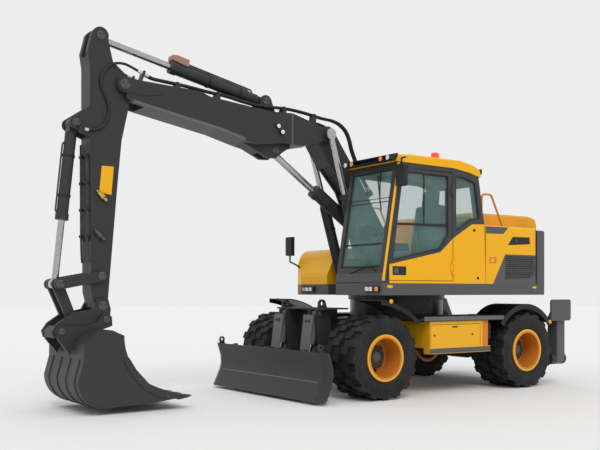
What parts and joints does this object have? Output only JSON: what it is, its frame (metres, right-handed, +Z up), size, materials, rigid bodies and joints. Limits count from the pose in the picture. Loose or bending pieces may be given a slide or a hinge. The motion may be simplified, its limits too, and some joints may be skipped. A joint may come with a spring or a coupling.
{
  "type": "wheeled excavator",
  "caption": "Wheeled excavator with a two-piece boom, bucket on a quick coupler, dozer blade in front and folding outriggers behind.",
  "frame": {"origin": "middle of the machine's bounding box, on the ground", "axes": "+X towards the blade, +Y towards the cab side, +Z up"},
  "size_m": [7.387, 2.8, 4.3148],
  "materials": {
    "yellow_paint": "gloss",
    "orange_paint": "gloss",
    "dark_paint": "satin",
    "grey_paint": "satin",
    "rim_paint": "gloss",
    "tyre": "matt",
    "rod_steel": "polished",
    "engine_iron": "matt",
    "clear_glass": "gloss",
    "trim_plastic": "matt",
    "lamp_plastic": "gloss",
    "beacon_plastic": "gloss",
    "hose_rubber": "matt"
  },
  "bodies": {
    "undercarriage": {"chassis_frame": "dark_paint", "slew_ring": "dark_paint", "front_axle": "dark_paint", "rear_axle": "dark_paint", "toolboxes": "yellow_paint", "fenders": "grey_paint", "blade_bracket": "dark_paint", "outrigger_carrier": "dark_paint"},
    "steer_left": {"knuckle_left": "dark_paint"},
    "steer_right": {"knuckle_right": "dark_paint"},
    "wheel_front_left": {"rims_front_left": "rim_paint", "tyres_front_left": "tyre"},
    "wheel_front_right": {"rims_front_right": "rim_paint", "tyres_front_right": "tyre"},
    "wheel_rear_left": {"rims_rear_left": "rim_paint", "tyres_rear_left": "tyre"},
    "wheel_rear_right": {"rims_rear_right": "rim_paint", "tyres_rear_right": "tyre"},
    "blade": {"blade": "dark_paint"},
    "blade_barrels": {"blade_barrels": "grey_paint"},
    "blade_rods": {"blade_rods": "rod_steel"},
    "leg_left": {"outrigger_left": "dark_paint"},
    "leg_right": {"outrigger_right": "dark_paint"},
    "leg_barrel_left": {"leg_barrel_left": "dark_paint"},
    "leg_barrel_right": {"leg_barrel_right": "dark_paint"},
    "leg_rod_left": {"leg_rod_left": "rod_steel"},
    "leg_rod_right": {"leg_rod_right": "rod_steel"},
    "upper": {"slew_platform": "dark_paint", "counterweight": "dark_paint", "body_panels": "yellow_paint", "engine_block": "engine_iron", "tank_hood": "yellow_paint", "cab_shell": "dark_paint", "cab_glass": "clear_glass", "cab_interior": "trim_plastic", "cab_roof": "yellow_paint", "handrails": "orange_paint", "mirrors": "trim_plastic", "work_lamps": "lamp_plastic", "beacon": "beacon_plastic"},
    "hood": {"engine_hood": "yellow_paint"},
    "door": {"cab_door": "dark_paint", "door_glass": "clear_glass"},
    "lower_boom": {"lower_boom": "dark_paint"},
    "main_boom": {"main_boom": "dark_paint", "boom_hoses": "hose_rubber"},
    "arm": {"arm": "dark_paint", "arm_hoses": "hose_rubber"},
    "lift_barrels": {"lift_barrel": "dark_paint"},
    "lift_rods": {"lift_rod": "rod_steel"},
    "adjust_barrel": {"adjust_barrel": "dark_paint"},
    "adjust_rod": {"adjust_rod": "rod_steel"},
    "arm_barrel": {"arm_barrel": "dark_paint"},
    "arm_rod": {"arm_rod": "rod_steel"},
    "bucket_barrel": {"bucket_barrel": "dark_paint"},
    "bucket_rod": {"bucket_rod": "rod_steel"},
    "bucket_lever": {"bucket_lever": "dark_paint"},
    "bucket_link": {"bucket_link": "dark_paint"},
    "bucket": {"quick_coupler": "dark_paint", "bucket": "dark_paint"}
  },
  "joints": [
    {"name": "swing", "type": "hinge", "parent": "undercarriage", "child": "upper", "pos_m": [-1.434, 0, 1.29], "axis": [0, 0, 1], "continuous": true},
    {"name": "steering", "type": "hinge", "parent": "undercarriage", "child": "steer_left", "pos_m": [-0.134, 0.66, 0.52], "axis": [0, 0, 1], "range_deg": [-26, 26]},
    {"name": "steering_right", "type": "hinge", "parent": "undercarriage", "child": "steer_right", "pos_m": [-0.134, -0.66, 0.52], "axis": [0, 0, 1], "range_deg": [-27, 27]},
    {"name": "front_left_spin", "type": "hinge", "parent": "steer_left", "child": "wheel_front_left", "pos_m": [-0.134, 1, 0.52], "axis": [0, 1, 0], "continuous": true},
    {"name": "front_right_spin", "type": "hinge", "parent": "steer_right", "child": "wheel_front_right", "pos_m": [-0.134, -1, 0.52], "axis": [0, 1, 0], "continuous": true},
    {"name": "rear_left_spin", "type": "hinge", "parent": "undercarriage", "child": "wheel_rear_left", "pos_m": [-2.734, 1, 0.52], "axis": [0, 1, 0], "continuous": true},
    {"name": "rear_right_spin", "type": "hinge", "parent": "undercarriage", "child": "wheel_rear_right", "pos_m": [-2.734, -1, 0.52], "axis": [0, 1, 0], "continuous": true},
    {"name": "blade_lift", "type": "hinge", "parent": "undercarriage", "child": "blade", "pos_m": [0.186, 0, 0.6], "axis": [0, -1, 0], "range_deg": [0, 28]},
    {"name": "blade_barrel_swing", "type": "hinge", "parent": "undercarriage", "child": "blade_barrels", "pos_m": [0.226, 0, 1.045], "axis": [0, -1, 0], "range_deg": [-1, 8]},
    {"name": "blade_rod_slide", "type": "slide", "parent": "blade_barrels", "child": "blade_rods", "axis": [0.2566, 0, -0.9665], "range_m": [-0.09, 0.001]},
    {"name": "leg_left_fold", "type": "hinge", "parent": "undercarriage", "child": "leg_left", "pos_m": [-3.534, 1.115, 0.365], "axis": [-1, 0, 0], "range_deg": [0, 104]},
    {"name": "leg_left_barrel_swing", "type": "hinge", "parent": "undercarriage", "child": "leg_barrel_left", "pos_m": [-3.534, 0.35, 0.8], "axis": [-1, 0, 0], "range_deg": [-2, 1]},
    {"name": "leg_left_rod_slide", "type": "slide", "parent": "leg_barrel_left", "child": "leg_rod_left", "axis": [0, 0.9509, -0.3096], "range_m": [-0.001, 0.41]},
    {"name": "leg_right_fold", "type": "hinge", "parent": "undercarriage", "child": "leg_right", "pos_m": [-3.534, -1.115, 0.365], "axis": [1, 0, 0], "range_deg": [0, 104]},
    {"name": "leg_right_barrel_swing", "type": "hinge", "parent": "undercarriage", "child": "leg_barrel_right", "pos_m": [-3.534, -0.35, 0.8], "axis": [1, 0, 0], "range_deg": [-2, 1]},
    {"name": "leg_right_rod_slide", "type": "slide", "parent": "leg_barrel_right", "child": "leg_rod_right", "axis": [0, -0.9509, -0.3096], "range_m": [-0.001, 0.41]},
    {"name": "door_swing", "type": "hinge", "parent": "upper", "child": "door", "pos_m": [-1.287, 1.25, 1.5], "axis": [0, 0, 1], "range_deg": [0, 150]},
    {"name": "hood_lift", "type": "hinge", "parent": "upper", "child": "hood", "pos_m": [-1.98, 0, 2.244], "axis": [0, 1, 0], "range_deg": [0, 40]},
    {"name": "boom", "type": "hinge", "parent": "upper", "child": "lower_boom", "pos_m": [-1.184, 0, 1.8], "axis": [0, -1, 0], "range_deg": [-40, 14]},
    {"name": "knee", "type": "hinge", "parent": "lower_boom", "child": "main_boom", "pos_m": [-0.064, 0, 3.41], "axis": [0, -1, 0], "range_deg": [-30, 35], "deforming": ["boom_hoses"]},
    {"name": "arm_swing", "type": "hinge", "parent": "main_boom", "child": "arm", "pos_m": [2.841, 0, 3.69], "axis": [0, 1, 0], "range_deg": [-50, 34], "deforming": ["arm_hoses"]},
    {"name": "bucket_curl", "type": "hinge", "parent": "arm", "child": "bucket", "pos_m": [3.101, 0, 1.176], "axis": [0, 1, 0], "range_deg": [-50, 60]},
    {"name": "lift_barrel_swing", "type": "hinge", "parent": "upper", "child": "lift_barrels", "pos_m": [-0.674, 0, 1.42], "axis": [0, -1, 0], "range_deg": [-39, 14]},
    {"name": "lift_rod_slide", "type": "slide", "parent": "lift_barrels", "child": "lift_rods", "axis": [0.2931, 0, 0.9561], "range_m": [-0.43, 0.151]},
    {"name": "adjust_barrel_swing", "type": "hinge", "parent": "lower_boom", "child": "adjust_barrel", "pos_m": [-0.864, 0, 2.06], "axis": [0, -1, 0], "range_deg": [-9, 10]},
    {"name": "adjust_rod_slide", "type": "slide", "parent": "adjust_barrel", "child": "adjust_rod", "axis": [0.8255, 0, 0.5644], "range_m": [-0.336, 0.392]},
    {"name": "arm_barrel_swing", "type": "hinge", "parent": "main_boom", "child": "arm_barrel", "pos_m": [0.856, 0, 3.755], "axis": [0, 1, 0], "range_deg": [-8, 7]},
    {"name": "arm_rod_slide", "type": "slide", "parent": "arm_barrel", "child": "arm_rod", "axis": [0.9793, 0, 0.2024], "range_m": [-0.407, 0.342]},
    {"name": "bucket_barrel_swing", "type": "hinge", "parent": "arm", "child": "bucket_barrel", "pos_m": [3.396, 0, 3.21], "axis": [0, 1, 0], "range_deg": [-4, 5]},
    {"name": "bucket_rod_slide", "type": "slide", "parent": "bucket_barrel", "child": "bucket_rod", "axis": [0.1109, 0, -0.9938], "range_m": [-0.287, 0.344]},
    {"name": "lever_swing", "type": "hinge", "parent": "arm", "child": "bucket_lever", "pos_m": [3.11, 0, 1.509], "axis": [0, 1, 0], "range_deg": [-38, 45]},
    {"name": "link_swing", "type": "hinge", "parent": "bucket_lever", "child": "bucket_link", "pos_m": [3.596, 0, 1.418], "axis": [0, 1, 0], "range_deg": [-33, 27]}
  ],
  "couplings": [
    {"joint": "steering_right", "follows": "steering", "ratio": 1},
    {"joint": "blade_barrel_swing", "follows": "blade_lift", "ratio": 0.2531},
    {"joint": "blade_rod_slide", "follows": "blade_lift", "m_per_rad": -0.1749},
    {"joint": "leg_left_barrel_swing", "follows": "leg_left_fold", "ratio": -0.014},
    {"joint": "leg_left_rod_slide", "follows": "leg_left_fold", "m_per_rad": 0.2225},
    {"joint": "leg_right_barrel_swing", "follows": "leg_right_fold", "ratio": -0.014},
    {"joint": "leg_right_rod_slide", "follows": "leg_right_fold", "m_per_rad": 0.2225},
    {"joint": "lift_barrel_swing", "follows": "boom", "ratio": 0.9602},
    {"joint": "lift_rod_slide", "follows": "boom", "m_per_rad": 0.6127},
    {"joint": "adjust_barrel_swing", "follows": "knee", "ratio": 0.2659},
    {"joint": "adjust_rod_slide", "follows": "knee", "m_per_rad": 0.6401},
    {"joint": "arm_barrel_swing", "follows": "arm_swing", "ratio": 0.1439},
    {"joint": "arm_rod_slide", "follows": "arm_swing", "m_per_rad": 0.4648},
    {"joint": "bucket_barrel_swing", "follows": "bucket_curl", "ratio": 0.0662},
    {"joint": "bucket_rod_slide", "follows": "bucket_curl", "m_per_rad": 0.327},
    {"joint": "lever_swing", "follows": "bucket_curl", "ratio": 0.739},
    {"joint": "link_swing", "follows": "bucket_curl", "ratio": -0.5285}
  ]
}
